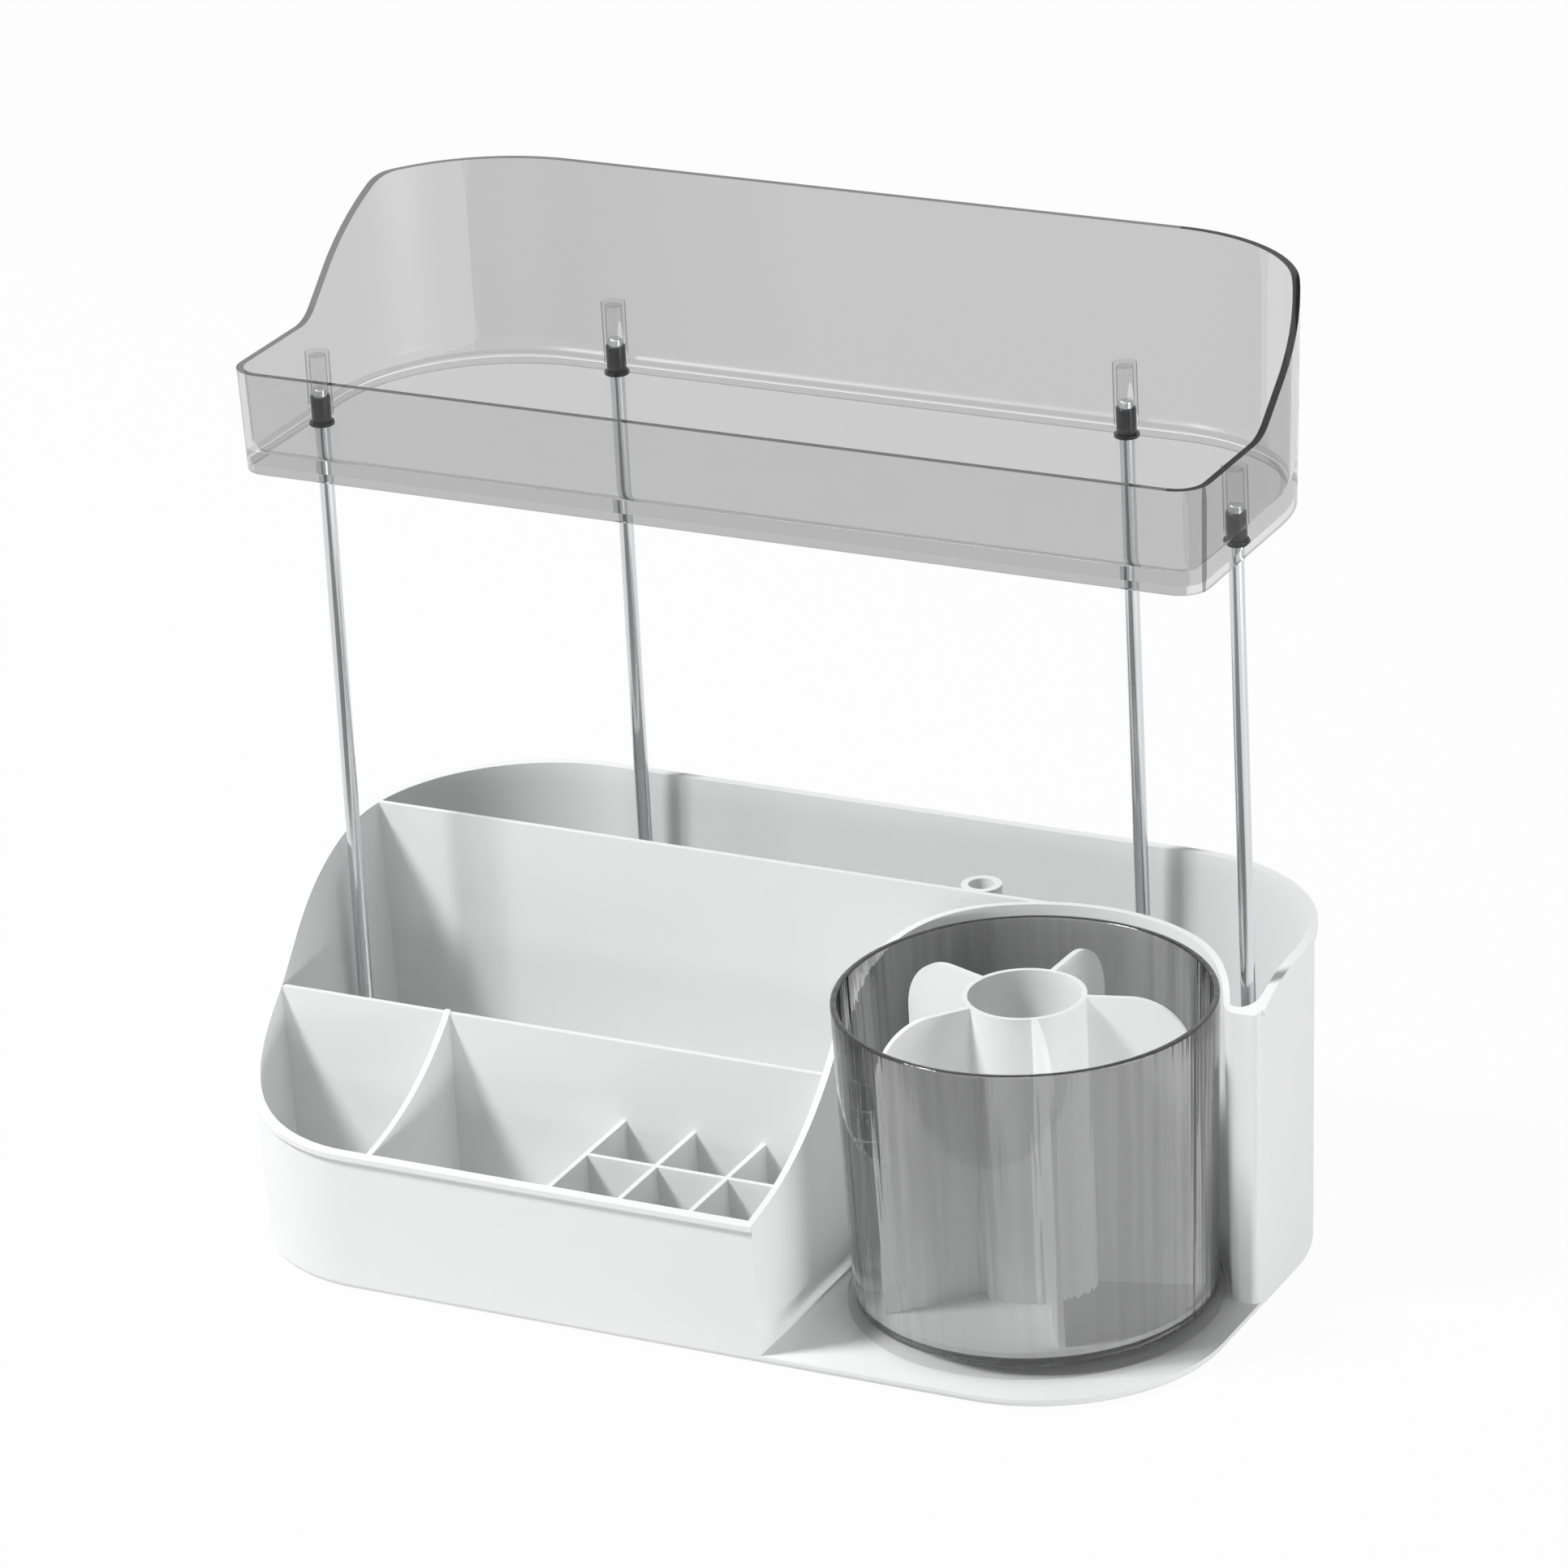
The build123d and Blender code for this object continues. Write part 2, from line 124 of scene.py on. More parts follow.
def painted_reflection_streaks(tree, place, marks):
    """Painted reflections: dark lines that hang from the rim and fade on their way down, strongest toward
    the cup's edges where the wall turns away.
    """
    height = add(tree, "ShaderNodeSeparateXYZ", None, {"Vector": place}).outputs["Z"]
    fade = add(tree, "ShaderNodeMapRange", {"From Min": 20 * MM, "From Max": 100 * MM, "To Min": 0.4},
               {"Value": height})
    line = add(tree, "ShaderNodeMapRange", {"From Min": 0.46, "From Max": 0.62}, {"Value": marks})
    drawn = add(tree, "ShaderNodeMath", None, {0: fade.outputs["Result"], 1: line.outputs["Result"]},
                operation="MULTIPLY")
    return add(tree, "ShaderNodeMath", None, {0: drawn.outputs[0], 1: turned_away(tree, 0.15, 0.6, 0.2)},
               operation="MULTIPLY").outputs[0]


def round_edges(tree, place, marks):
    """Dye that shows at the two edges of a thin tube, where the eye looks along its wall."""
    return turned_away(tree, 0.5, 0.9, 0.0)


def toward_corner(tree, place, marks):
    """Darker toward the left end of a long wall."""
    along = add(tree, "ShaderNodeSeparateXYZ", None, {"Vector": place}).outputs["X"]
    return add(tree, "ShaderNodeMapRange",
               {"From Min": -100 * MM, "From Max": -20 * MM, "To Min": 1.0, "To Max": 0.0},
               {"Value": along}).outputs["Result"]


def evenly(tree, place, marks):
    """Dye that drifts by a hair with the flow."""
    return marks


def smoked_styrene(name, tint, dark_tint, spread, bend=1.02, streak=25 * MM, depth=0.01 * MM,
                   passing="FAFAFA", density=0.0):
    """Clear injection-moulded styrene with smoke dye: see-through under a glossy skin.

    One face lets the tint pass, and the dark tint where spread says so. The bend is how far the wall moves
    what lies behind it, the draw marks have a width and a depth, passing is the light that a face lets
    through to other pieces, and density adds dye in the mass.
    """
    finish, tree, out = new_material("styrene_moulded_" + name)
    place = add(tree, "ShaderNodeTexCoord").outputs["Object"]
    # Draw marks run up the wall, far longer than they are wide
    run = add(tree, "ShaderNodeMapping", {"Scale": (1.0, 1.0, 0.02)}, {"Vector": place})
    marks = add(tree, "ShaderNodeTexNoise", {"Scale": 1 / streak, "Detail": 2.0},
                {"Vector": run.outputs["Vector"]}).outputs["Fac"]
    bump = add(tree, "ShaderNodeBump", {"Strength": 0.6, "Distance": depth}, {"Height": marks})
    rough = add(tree, "ShaderNodeMapRange", {"To Min": 0.01, "To Max": 0.05}, {"Value": marks})
    dye = add(tree, "ShaderNodeMix", {"A": linear(tint), "B": linear(dark_tint)},
              {"Factor": spread(tree, place, marks)}, data_type="RGBA")
    glass = add(tree, "ShaderNodeBsdfPrincipled",
                {"IOR": bend, "Transmission Weight": 1.0, "Coat Weight": 0.25, "Coat IOR": 1.5,
                 "Coat Roughness": 0.3},
                {"Base Color": dye.outputs["Result"], "Roughness": rough.outputs["Result"],
                 "Normal": bump.outputs["Normal"]})
    clear = add(tree, "ShaderNodeBsdfTransparent", {"Color": linear(passing)})
    path = add(tree, "ShaderNodeLightPath")
    lit = add(tree, "ShaderNodeMath", None,
              {0: path.outputs["Is Shadow Ray"], 1: path.outputs["Is Diffuse Ray"]}, operation="MAXIMUM")
    both = add(tree, "ShaderNodeMixShader", None,
               {0: lit.outputs[0], 1: glass.outputs["BSDF"], 2: clear.outputs["BSDF"]})
    tree.links.new(both.outputs["Shader"], out.inputs["Surface"])
    if density:
        mass = add(tree, "ShaderNodeVolumeAbsorption", {"Color": linear("3C3C3E"), "Density": density})
        tree.links.new(mass.outputs["Volume"], out.inputs["Volume"])
    return finish


def polished_steel():
    """Drawn stainless rod, polished along its length: bright, with fine lines up the rod."""
    finish, tree, out = new_material("stainless_steel_polished")
    place = add(tree, "ShaderNodeTexCoord").outputs["Object"]
    run = add(tree, "ShaderNodeMapping", {"Scale": (1.0, 1.0, 0.01)}, {"Vector": place})
    lines = add(tree, "ShaderNodeTexNoise", {"Scale": 1 / (0.4 * MM), "Detail": 2.0},
                {"Vector": run.outputs["Vector"]})
    rough = add(tree, "ShaderNodeMapRange", {"To Min": 0.10, "To Max": 0.22},
                {"Value": lines.outputs["Fac"]})
    tint = add(tree, "ShaderNodeMix", {"A": linear("CDCECF"), "B": linear("E2E3E4")},
               {"Factor": lines.outputs["Fac"]}, data_type="RGBA")
    surface = add(tree, "ShaderNodeBsdfPrincipled", {"Metallic": 1.0},
                  {"Base Color": tint.outputs["Result"], "Roughness": rough.outputs["Result"]})
    tree.links.new(surface.outputs["BSDF"], out.inputs["Surface"])
    return finish


def plated_steel():
    """Zinc-plated steel: a bluish grey metal with a fine cloudy grain."""
    finish, tree, out = new_material("steel_zinc_plated")
    place = add(tree, "ShaderNodeTexCoord").outputs["Object"]
    grain = add(tree, "ShaderNodeTexNoise", {"Scale": 1 / (0.8 * MM), "Detail": 4.0}, {"Vector": place})
    tint = add(tree, "ShaderNodeMix", {"A": linear("A9ADB2"), "B": linear("C3C6CA")},
               {"Factor": grain.outputs["Fac"]}, data_type="RGBA")
    rough = add(tree, "ShaderNodeMapRange", {"To Min": 0.25, "To Max": 0.45},
                {"Value": grain.outputs["Fac"]})
    surface = add(tree, "ShaderNodeBsdfPrincipled", {"Metallic": 1.0},
                  {"Base Color": tint.outputs["Result"], "Roughness": rough.outputs["Result"]})
    tree.links.new(surface.outputs["BSDF"], out.inputs["Surface"])
    return finish


def dark_styrene():
    """Deep smoked styrene: nearly black, with a wet gloss."""
    finish, tree, out = new_material("styrene_moulded_dark_smoke")
    place = add(tree, "ShaderNodeTexCoord").outputs["Object"]
    flow = add(tree, "ShaderNodeTexNoise", {"Scale": 1 / (3 * MM), "Detail": 2.0}, {"Vector": place})
    tint = add(tree, "ShaderNodeMix", {"A": linear("1E1E20"), "B": linear("343436")},
               {"Factor": flow.outputs["Fac"]}, data_type="RGBA")
    rough = add(tree, "ShaderNodeMapRange", {"To Min": 0.08, "To Max": 0.18},
                {"Value": flow.outputs["Fac"]})
    surface = add(tree, "ShaderNodeBsdfPrincipled", {"IOR": 1.57},
                  {"Base Color": tint.outputs["Result"], "Roughness": rough.outputs["Result"]})
    tree.links.new(surface.outputs["BSDF"], out.inputs["Surface"])
    return finish


def foot_rubber():
    """Moulded silicone rubber: pale grey, matt, with a slight dusting."""
    finish, tree, out = new_material("silicone_rubber_moulded")
    place = add(tree, "ShaderNodeTexCoord").outputs["Object"]
    dust = add(tree, "ShaderNodeTexNoise", {"Scale": 1 / (1.5 * MM), "Detail": 3.0}, {"Vector": place})
    tint = add(tree, "ShaderNodeMix", {"A": linear("B9B9BA"), "B": linear("CCCCCD")},
               {"Factor": dust.outputs["Fac"]}, data_type="RGBA")
    surface = add(tree, "ShaderNodeBsdfPrincipled", {"Roughness": 0.7, "IOR": 1.43},
                  {"Base Color": tint.outputs["Result"]})
    tree.links.new(surface.outputs["BSDF"], out.inputs["Surface"])
    return finish


def turning_tree():
    """Geometry Nodes that turn the object's own points, a half profile of radius and height, round the Z
    axis and set the turned piece at each point of another object. A point's Y says how far the ripple moves
    it."""
    tree = bpy.data.node_groups.new("turned_piece", "GeometryNodeTree")
    for label, kind in (("Profile", "NodeSocketGeometry"), ("Places", "NodeSocketObject"),
                        ("Segments", "NodeSocketInt"), ("Ripple Count", "NodeSocketFloat"),
                        ("Finish", "NodeSocketMaterial")):
        tree.interface.new_socket(label, in_out="INPUT", socket_type=kind)
    tree.interface.new_socket("Piece", in_out="OUTPUT", socket_type="NodeSocketGeometry")
    given = add(tree, "NodeGroupInput").outputs

    # A flat sheet with a row for each point of the profile
    count = add(tree, "GeometryNodeAttributeDomainSize", None, {"Geometry": given["Profile"]},
                component="MESH").outputs["Point Count"]
    across = add(tree, "ShaderNodeMath", {1: 1.0}, {0: given["Segments"]}, operation="ADD")
    sheet = add(tree, "GeometryNodeMeshGrid", {"Size X": 1.0, "Size Y": 1.0},
                {"Vertices X": across.outputs[0], "Vertices Y": count})
    spot = add(tree, "GeometryNodeInputPosition").outputs[0]
    flat = add(tree, "ShaderNodeSeparateXYZ", None, {0: spot})

    # Across the sheet is the angle, and along it is the point of the profile
    angle = add(tree, "ShaderNodeMath", {1: math.tau, 2: math.pi}, {0: flat.outputs[0]},
                operation="MULTIPLY_ADD")
    last = add(tree, "ShaderNodeMath", {1: 1.0}, {0: count}, operation="SUBTRACT")
    share = add(tree, "ShaderNodeMath", {1: 0.5}, {0: flat.outputs[1]}, operation="ADD")
    row = add(tree, "ShaderNodeMath", None, {0: share.outputs[0], 1: last.outputs[0]}, operation="MULTIPLY")
    whole = add(tree, "ShaderNodeMath", None, {0: row.outputs[0]}, operation="ROUND")
    corner = add(tree, "GeometryNodeSampleIndex", None,
                 {"Geometry": given["Profile"], "Value": spot, "Index": whole.outputs[0]},
                 data_type="FLOAT_VECTOR", domain="POINT")
    half = add(tree, "ShaderNodeSeparateXYZ", None, {0: corner.outputs[0]})

    # The ripple swings the radius in and out on the way round
    cosine = add(tree, "ShaderNodeMath", None, {0: angle.outputs[0]}, operation="COSINE")
    sine = add(tree, "ShaderNodeMath", None, {0: angle.outputs[0]}, operation="SINE")
    ring = add(tree, "ShaderNodeCombineXYZ", None, {0: cosine.outputs[0], 1: sine.outputs[0]})
    wave = add(tree, "ShaderNodeTexNoise", {"Detail": 1.0},
               {"Vector": ring.outputs[0], "Scale": given["Ripple Count"]})
    swing = add(tree, "ShaderNodeMath", {1: 0.5}, {0: wave.outputs[0]}, operation="SUBTRACT")
    radius = add(tree, "ShaderNodeMath", None,
                 {0: swing.outputs[0], 1: half.outputs[1], 2: half.outputs[0]}, operation="MULTIPLY_ADD")
    x = add(tree, "ShaderNodeMath", None, {0: cosine.outputs[0], 1: radius.outputs[0]},
            operation="MULTIPLY")
    y = add(tree, "ShaderNodeMath", None, {0: sine.outputs[0], 1: radius.outputs[0]}, operation="MULTIPLY")
    turned_spot = add(tree, "ShaderNodeCombineXYZ", None,
                      {0: x.outputs[0], 1: y.outputs[0], 2: half.outputs[2]})
    shaped = add(tree, "GeometryNodeSetPosition", None,
                 {"Geometry": sheet.outputs["Mesh"], "Position": turned_spot.outputs[0]})
    closed = add(tree, "GeometryNodeMergeByDistance", {"Distance": WELD}, {"Geometry": shaped.outputs[0]})

    spots = add(tree, "GeometryNodeObjectInfo", None, {"Object": given["Places"]})
    copies = add(tree, "GeometryNodeInstanceOnPoints", None,
                 {"Points": spots.outputs["Geometry"], "Instance": closed.outputs[0]})
    real = add(tree, "GeometryNodeRealizeInstances", None, {"Geometry": copies.outputs[0]})
    painted = add(tree, "GeometryNodeSetMaterial", None,
                  {"Geometry": real.outputs[0], "Material": given["Finish"]})
    add(tree, "NodeGroupOutput", None, {0: painted.outputs[0]})
    return tree


def put(name, data):
    """A new object at the origin, in the scene."""
    made = bpy.data.objects.new(name, data)
    bpy.context.scene.collection.objects.link(made)
    return made


def shade(mesh, sharp):
    """Smooth shading, with the edges kept that turn by more than an angle in degrees."""
    mesh.polygons.foreach_set("use_smooth", [True] * len(mesh.polygons))
    mesh.set_sharp_from_angle(angle=math.radians(sharp))


def stand_for(piece, body, nodes):
    """The piece rides on a body, and is shown in place of CAD nodes."""
    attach(piece, body)
    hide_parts(*nodes)


def middle(node):
    """Middle of a node's plan and its lowest and highest level, in mm."""
    low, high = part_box(node)
    return [(low.x + high.x) / 2 / MM, (low.y + high.y) / 2 / MM, low.z / MM, high.z / MM]


def rounded(corners):
    """Half-profile points from corners of radius, height, round and ripple, all in mm, with each round as
    an arc."""
    points = []
    for i, (r, z, bend, ripple) in enumerate(corners):
        if not bend:
            points.append((r * MM, ripple * MM, z * MM))
            continue
        here = Vector((r, z))
        before = (Vector(corners[i - 1][:2]) - here).normalized()
        after = (Vector(corners[(i + 1) % len(corners)][:2]) - here).normalized()
        half = before.angle(after) / 2
        centre = here + (before + after).normalized() * bend / math.sin(half)
        start = here + before * bend / math.tan(half) - centre
        sweep = start.angle_signed(here + after * bend / math.tan(half) - centre)
        for step in range(ARC_STEPS + 1):
            turn = Matrix.Rotation(-sweep * step / ARC_STEPS, 2)
            p = centre + turn @ start
            points.append((p.x * MM, ripple * MM, p.y * MM))
    return points


def turned(name, corners, places, finish, segments, ripple_count=0.0):
    """A turned piece, or one at each of several places, from the turning tree, kept as a plain mesh."""
    profile = bpy.data.meshes.new(name + "_profile")
    profile.from_pydata(rounded(corners), [], [])
    spots = bpy.data.meshes.new(name + "_places")
    spots.from_pydata([Vector(p) * MM for p in places], [], [])
    holder, marks = put(name + "_profile", profile), put(name + "_places", spots)
    lathe = holder.modifiers.new("turn", "NODES")
    lathe.node_group = TURNING
    inputs = {"Places": marks, "Segments": segments, "Ripple Count": ripple_count, "Finish": finish}
    for item in TURNING.interface.items_tree:
        if item.in_out == "INPUT" and item.name in inputs:
            lathe[item.identifier] = inputs[item.name]
    ready = holder.evaluated_get(bpy.context.evaluated_depsgraph_get())
    mesh = bpy.data.meshes.new_from_object(ready)
    mesh.name = name
    bpy.data.objects.remove(holder)
    bpy.data.objects.remove(marks)
    work = bmesh.new()
    work.from_mesh(mesh)
    bmesh.ops.remove_doubles(work, verts=work.verts, dist=WELD)
    bmesh.ops.recalc_face_normals(work, faces=work.faces)
    work.to_mesh(mesh)
    work.free()
    shade(mesh, TURNED_SHARP)
    return put(name, mesh)


def moulding(node, name, finish):
    """A smooth-shaded copy of a CAD node, its doubles merged."""
    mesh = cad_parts[node].data.copy()
    mesh.name = name
    for spare in ("custom_normal", "sharp_edge", "sharp_face"):
        if spare in mesh.attributes:
            mesh.attributes.remove(mesh.attributes[spare])
    work = bmesh.new()
    work.from_mesh(mesh)
    bmesh.ops.remove_doubles(work, verts=work.verts, dist=CAD_WELD)
    work.to_mesh(mesh)
    work.free()
    mesh.materials.clear()
    mesh.materials.append(finish)
    shade(mesh, MOULDED_SHARP)
    piece = put(name, mesh)
    even = piece.modifiers.new("even_normals", "WEIGHTED_NORMAL")
    even.keep_sharp = True
    return piece


def cut_level(mesh, levels):
    """Cuts the faces of a mesh at some levels, so that its finish can change there."""
    work = bmesh.new()
    work.from_mesh(mesh)
    for level in levels:
        bmesh.ops.bisect_plane(work, geom=work.verts[:] + work.edges[:] + work.faces[:], dist=WELD,
                               plane_co=(0, 0, level), plane_no=(0, 0, 1))
    work.to_mesh(mesh)
    work.free()


# One dye, tinted for each part of the tray; rim and corner tints hold painted refraction lines: tint, dark
# tint and spread of each part
TRAY_DYES = {
    "dark_rim": ("121212", "101010", evenly),
    "rim": ("585858", "545454", evenly),
    "front": ("EEEEEE", "ECECEC", evenly),
    "skirt": ("BEBEBE", "BCBCBC", evenly),
    "left": ("CECECE", "CCCCCC", evenly),
    "right": ("DADADA", "D8D8D8", evenly),
    "corner": ("707070", "6E6E6E", evenly),
    "floor": ("B4B4B4", "B2B2B2", evenly),
    "boss": ("F4F4F4", "585858", round_edges),
}


def tray_part(spot, way, bosses):
    """Which part of the tray a face belongs to, by its middle and direction. None is the back wall."""
    boss_reach = 4 * MM
    rim_level, rim_slope, dark_rim_from = 266 * MM, 0.3, 100 * MM
    level_face, side_face, back_face = 0.9, 0.55, 0.4
    front_wall = -20 * MM
    # Painted dark line of refraction in a narrow upright strip at the front right corner
    strip_start, strip_end = 0.91, 0.96

    if any((spot - boss).xy.length < boss_reach for boss in bosses):
        return "boss" if way.z < level_face else "front"
    # Rim faces: dye seen down the wall's height, with painted refraction that darkens the right part more
    if spot.z > rim_level and way.z > rim_slope:
        return "dark_rim" if spot.x > dark_rim_from else "rim"
    if way.z < -level_face:
        return "floor"
    if way.z > level_face:
        return "front"
    below_floor = spot.z < FLOOR_TOP
    far_side = way.y > back_face or way.x < -side_face
    if far_side and FLOOR_LOW < spot.z < FLOOR_TOP:
        return "floor"
    if abs(way.x) > side_face:
        if below_floor and (spot.x < 0 or way.x < 0):
            return "front"
        if spot.x > 0 and spot.y < 0 and way.y < 0 and strip_start < way.x < strip_end:
            return "corner"
        return "right" if spot.x > 0 else "left"
    if spot.y < front_wall:
        return "skirt" if spot.z < BAND_TOP else "front"
    return "front" if below_floor else None


def camera():
    """The photograph's camera: 27.5 degrees right of the front and 22.8 above it, with a long lens."""
    az, el, roll = math.radians(27.51), math.radians(22.81), math.radians(-3.03)
    aim, distance, aside, below = Vector((0, -6, 150.8)), 2269.31, 7.19, 1.09
    film_width, focal_pixels, frame_pixels = 36.0, 9450.07, 1932
    back = Vector((math.sin(az) * math.cos(el), -math.cos(az) * math.cos(el), math.sin(el)))
    level = Vector((math.cos(az), math.sin(az), 0))
    rise = back.cross(level)
    right = level * math.cos(roll) + rise * math.sin(roll)
    up = rise * math.cos(roll) - level * math.sin(roll)
    spot = aim + back * distance + right * aside - up * below
    lens = bpy.data.cameras.new("camera")
    lens.sensor_width = film_width
    lens.lens = film_width * focal_pixels / frame_pixels
    lens.clip_start, lens.clip_end = 0.05, 50.0
    made = put("camera", lens)
    turn = Matrix((right, up, back)).transposed().to_4x4()
    made.matrix_world = Matrix.Translation(spot * MM) @ turn
    bpy.context.scene.camera = made


def lamp(name, place, aim, wide, tall, power):
    """A soft light of some width and height at a place, aimed at a point, all in metres, and its watts."""
    light = bpy.data.lights.new(name, "AREA")
    light.shape = "RECTANGLE"
    light.size, light.size_y = wide, tall
    light.energy = power
    made = put(name, light)
    made.location = place
    made.rotation_euler = (Vector(aim) - Vector(place)).to_track_quat("-Z", "Y").to_euler()


def looked_at(tree):
    """1 for what the eye sees, straight or by way of metal or glass, and 0 for what only gives light."""
    path = add(tree, "ShaderNodeLightPath").outputs
    seen = add(tree, "ShaderNodeMath", None, {0: path["Is Camera Ray"], 1: path["Is Glossy Ray"]},
               operation="MAXIMUM")
    return add(tree, "ShaderNodeMath", None, {0: seen.outputs[0], 1: path["Is Transmission Ray"]},
               operation="MAXIMUM").outputs[0]


def flat_sheet(name, low, high, level, finish):
    """A level rectangle between two corners of its plan, in metres."""
    mesh = bpy.data.meshes.new(name)
    mesh.from_pydata([(low[0], low[1], level), (high[0], low[1], level), (high[0], high[1], level),
                      (low[0], high[1], level)], [], [(0, 1, 2, 3)])
    mesh.materials.append(finish)
    return put(name, mesh)


def studio():
    """Plain white floor and surround, a soft key light from the upper left, and three weak low lights."""
    finish, tree, out = new_material("paper_sweep_white")
    paper = add(tree, "ShaderNodeBsdfDiffuse", {"Color": linear("C4C4C4")})
    glow = add(tree, "ShaderNodeEmission", {"Color": linear("FFFFFF"), "Strength": 1.0})
    # The rest of the paper's own shading keeps the object's shadow
    part = add(tree, "ShaderNodeMath", {1: 0.97}, {0: looked_at(tree)}, operation="MULTIPLY")
    both = add(tree, "ShaderNodeMixShader", None,
               {0: part.outputs[0], 1: paper.outputs["BSDF"], 2: glow.outputs["Emission"]})
    tree.links.new(both.outputs["Shader"], out.inputs["Surface"])
    floor = flat_sheet("floor", (-8, -8), (8, 8), 0, finish)

    world = bpy.data.worlds.new("studio")
    bpy.context.scene.world = world
    world.use_nodes = True
    tree = world.node_tree
    tree.nodes.clear()
    strength = add(tree, "ShaderNodeMapRange", {"To Min": 0.295, "To Max": 1.0}, {"Value": looked_at(tree)})
    sky = add(tree, "ShaderNodeBackground", {"Color": linear("FFFFFF")},
              {"Strength": strength.outputs["Result"]})
    add(tree, "ShaderNodeOutputWorld", None, {"Surface": sky.outputs["Background"]})

    aim, low_aim = Vector((0, 0, 0.1)), (0, 0, 0.06)
    key_place = aim + Vector((-0.66, -0.54, 1.0)).normalized() * 2.0
    lamp("key_light", key_place, aim, 0.4, 0.4, 39.5)
    lamp("front_light", (0.0, -2.2, 0.3), (0, 0, 0.08), 0.8, 0.3, 3.4)
    lamp("fill_light", (1.97, -0.32, 0.035), low_aim, 0.8, 0.06, 18.0)
    lamp("back_light", (-0.5, 1.94, 0.06), low_aim, 0.8, 0.1, 10.0)

    # Grey card on the floor in front, which only shows as dark lines in polished surfaces
    finish, tree, out = new_material("card_grey")
    ink = add(tree, "ShaderNodeBsdfDiffuse", {"Color": linear("868686")})
    tree.links.new(ink.outputs["BSDF"], out.inputs["Surface"])
    card = flat_sheet("card", (-0.3, -1.5), (0.35, -0.22), 0.001, finish)
    card.visible_camera = False
    card.visible_diffuse = False
    card.visible_shadow = False
    card.visible_transmission = False


TURNING = turning_tree()
white = moulded_abs()
tray_smoke = smoked_styrene("light_smoke", "C8C8C8", "C2C2C2", toward_corner)
# The cup's dark tint paints reflection streaks on its wall
cup_smoke = smoked_styrene("smoke", "B6B6B6", "7C7C7C", painted_reflection_streaks, bend=1.57, streak=4 * MM,
                           depth=0.5 * MM, passing="FFFFFF", density=30.0)
# Near-black tint for the cup's foot: painted contact shadow and dark edge
foot_painted_shade = smoked_styrene("smoke_foot_painted_shade", "121212", "101010", evenly)
disc_smoke = smoked_styrene("smoke_disc", "EEEEEE", "ECECEC", evenly)
steel = polished_steel()
zinc = plated_steel()
dark = dark_styrene()
rubber = foot_rubber()

# White base, smoked tray and white divider: the CAD solids, shaded smooth
stand_for(moulding("base", "base_shell", white), "base", ["base"])
tray = moulding("upper_tray", "tray_shell", tray_smoke)
cut_level(tray.data, (FLOOR_LOW, FLOOR_TOP, BAND_TOP))
for part, dyes in TRAY_DYES.items():
    tray.data.materials.append(smoked_styrene("light_smoke_" + part, *dyes))
bosses = [(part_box("collar_" + side)[0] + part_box("collar_" + side)[1]) / 2 for side in SIDES]
parts = [None] + list(TRAY_DYES)
for face in tray.data.polygons:
    face.material_index = parts.index(tray_part(face.center, face.normal, bosses))
stand_for(tray, "tray", ["upper_tray"])
stand_for(moulding("cup_insert", "brush_divider", white), "insert", ["cup_insert"])

# Turned pieces stand at the places of their CAD nodes. Sizes are in mm, and each corner of a half profile
# gives its radius, height, round and ripple
posts = ["post_" + side for side in SIDES]
low, high = middle(posts[0])[2:]
long, radius, foot_round, top_round = high - low, 2.25, 0.3, 0.7
post_profile = [(0, 0, 0, 0), (radius, 0, foot_round, 0), (radius, long, top_round, 0), (0, long, 0, 0)]
stand_for(turned("posts", post_profile, [middle(p)[:3] for p in posts], steel, SLIM_SEGMENTS),
          "base", posts)

collars = ["collar_" + side for side in SIDES]
low, high = middle(collars[0])[2:]
long, bore, sleeve, flange, flange_thick, edge = high - low, 2.3, 2.95, 3.9, 1.2, 0.3
collar_profile = [(bore, 0, 0, 0), (flange, 0, edge, 0), (flange, flange_thick, edge, 0),
                  (sleeve, flange_thick, 0, 0), (sleeve, long, edge, 0), (bore, long, 0, 0),
                  (bore, 0, 0, 0)]
stand_for(turned("collars", collar_profile, [middle(c)[:3] for c in collars], dark, SLIM_SEGMENTS),
          "base", collars)

feet = ["foot_%d" % n for n in range(1, 7)]
radius, thick, edge = 5, 1.6, 0.5
foot_profile = [(0, 0, 0, 0), (radius, 0, edge, 0), (radius, thick, 0, 0), (0, thick, 0, 0)]
stand_for(turned("feet", foot_profile, [middle(f)[:3] for f in feet], rubber, SLIM_SEGMENTS),
          "base", feet)

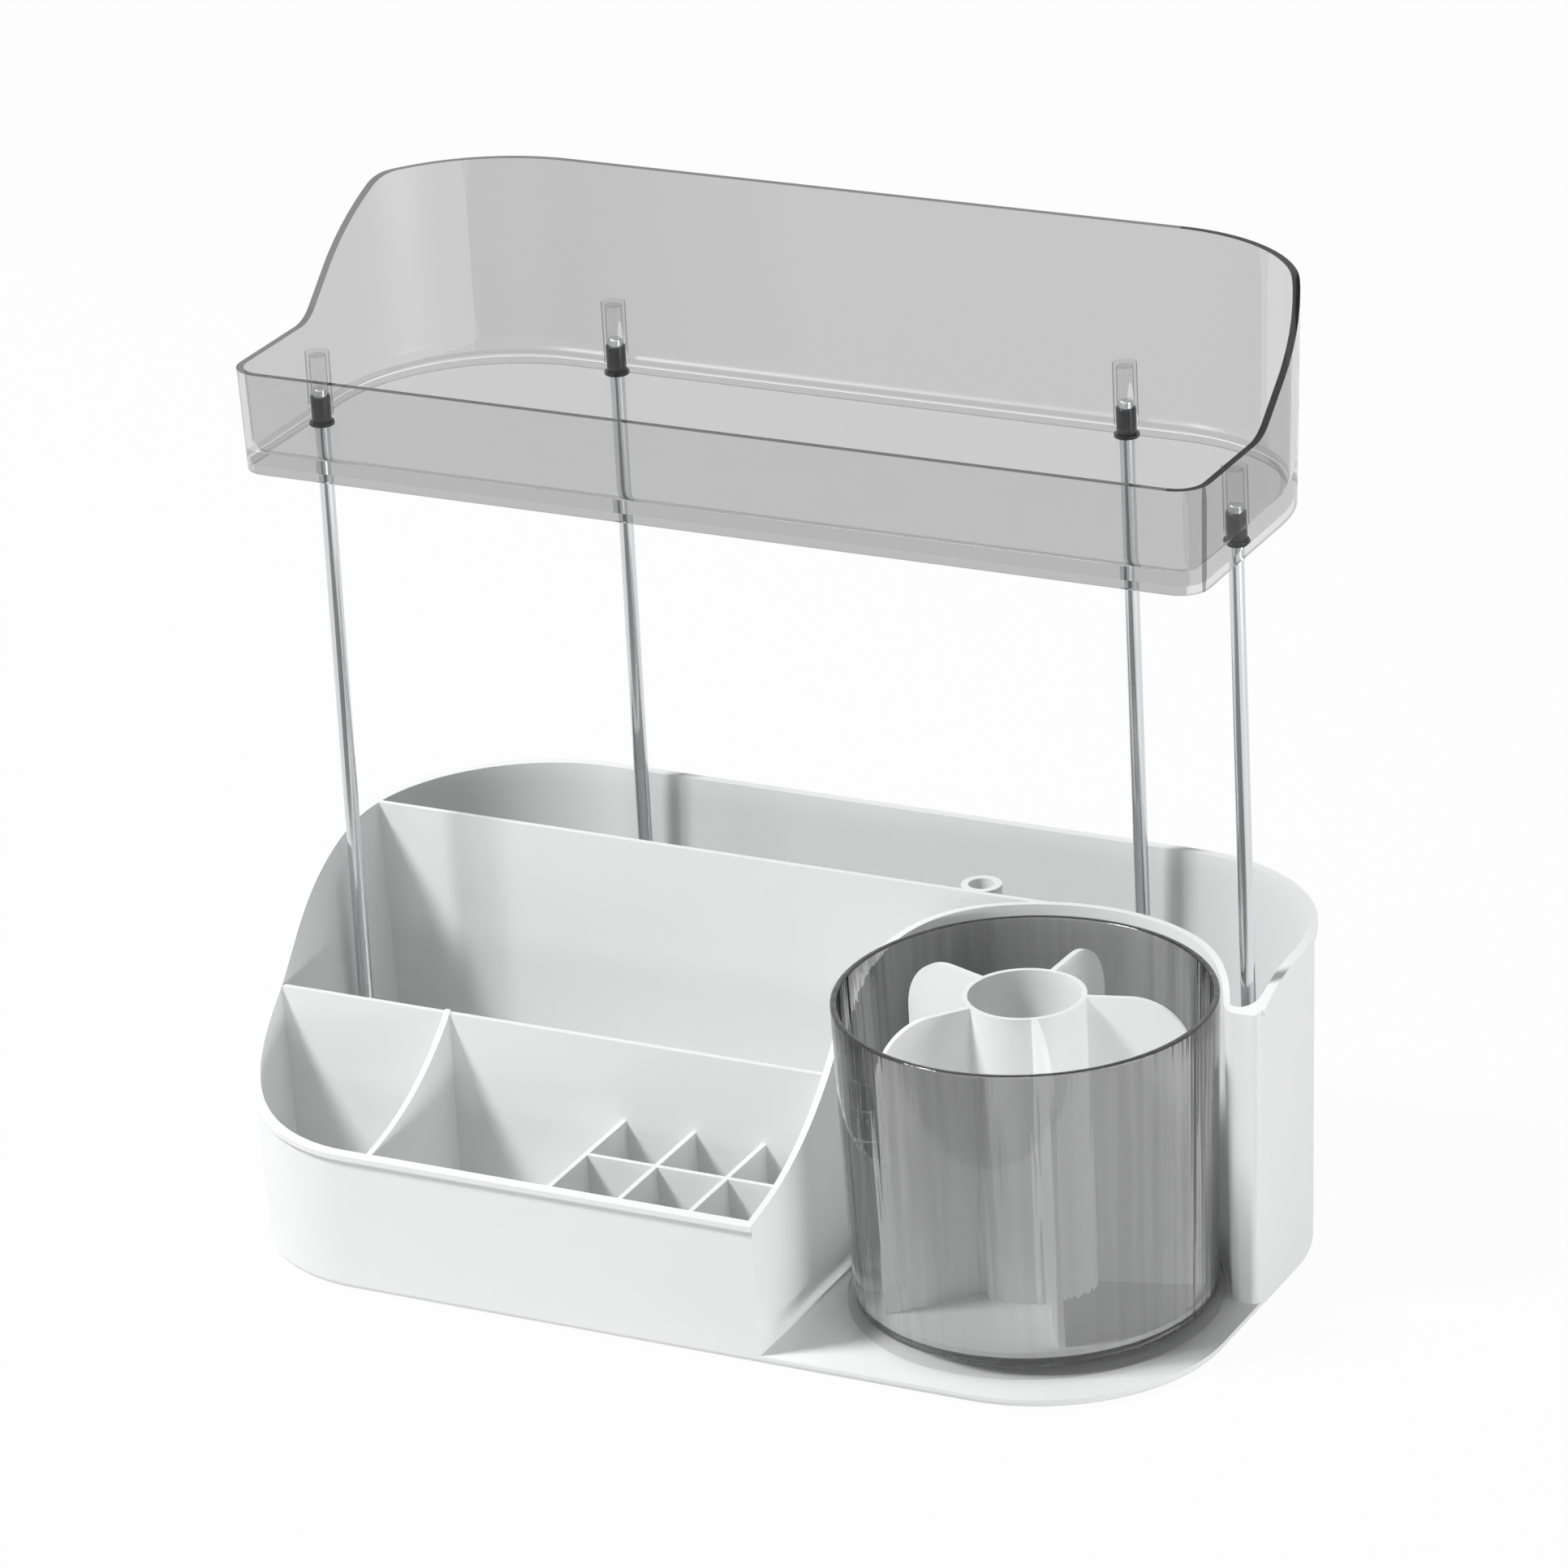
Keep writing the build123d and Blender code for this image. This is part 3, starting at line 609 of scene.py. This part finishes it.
x, y, low, high = middle("turntable")
radius, thick, edge = 56, 3, 0.8
bore, hub, hub_thick = 6.06, 11, 1.4
spigot, spigot_top, spigot_edge = 47.7, 3.8, 0.2
turntable_profile = [(bore, 0, 0, 0), (radius, 0, edge, 0), (radius, thick, edge, 0), (spigot, thick, 0, 0),
                     (spigot, spigot_top, spigot_edge, 0), (hub, spigot_top, spigot_edge, 0),
                     (hub, hub_thick, 0, 0), (bore, hub_thick, 0, 0), (bore, 0, 0, 0)]
stand_for(turned("turntable_disc", turntable_profile, [(x, y, low)], disc_smoke, DISC_SEGMENTS),
          "spinner", ["turntable"])

x, y, low, high = middle("cup")
tall, wall, floor_thick = high - low, 2, 2.6
foot, foot_round, rim, rim_round = 54, 1.4, 57, 0.7
recess, recess_deep = 48, 1
lean = (rim - foot) / tall
cup_profile = [(0, recess_deep, 0, 0), (recess, recess_deep, 0, 0), (recess, 0, 0, 0),
               (foot, 0, foot_round, 0), (rim, tall, rim_round, 0), (rim - wall, tall, rim_round, 0)]
# The inside of the wall ripples by a few tenths of a millimetre, less toward the rim
ripple, ripple_top, ripple_low, ripple_steps = 0.35, tall - 2, 3.2, 12
for step in range(1, ripple_steps):
    z = ripple_top - (ripple_top - ripple_low) * step / ripple_steps
    cup_profile.append((foot - wall + lean * z, z, 0, ripple * min(1, 3 * step / ripple_steps)))
cup_profile += [(foot - wall + lean * floor_thick, floor_thick, 0, 0), (0, floor_thick, 0, 0)]
ripple_count = 9.0
cup = turned("brush_cup", cup_profile, [(x, y, low)], cup_smoke, CUP_SEGMENTS, ripple_count)
# Painted shade: the cup's rounded foot is tinted near black for the contact shadow under it and its dark
# edge
cup.data.materials.append(foot_painted_shade)
dark_from = 52.8
for face in cup.data.polygons:
    out = (face.center - Vector((x, y, low)) * MM).xy.length
    if out > dark_from * MM and face.center.z < (low + foot_round) * MM:
        face.material_index = 1
stand_for(cup, "spinner", ["cup"])

# Hidden pivot hardware keeps its CAD shape
for name in ("pivot_washer", "pivot_screw"):
    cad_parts[name].data.materials.clear()
    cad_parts[name].data.materials.append(zinc)

camera()
studio()
bpy.context.scene.view_settings.view_transform = "Standard"
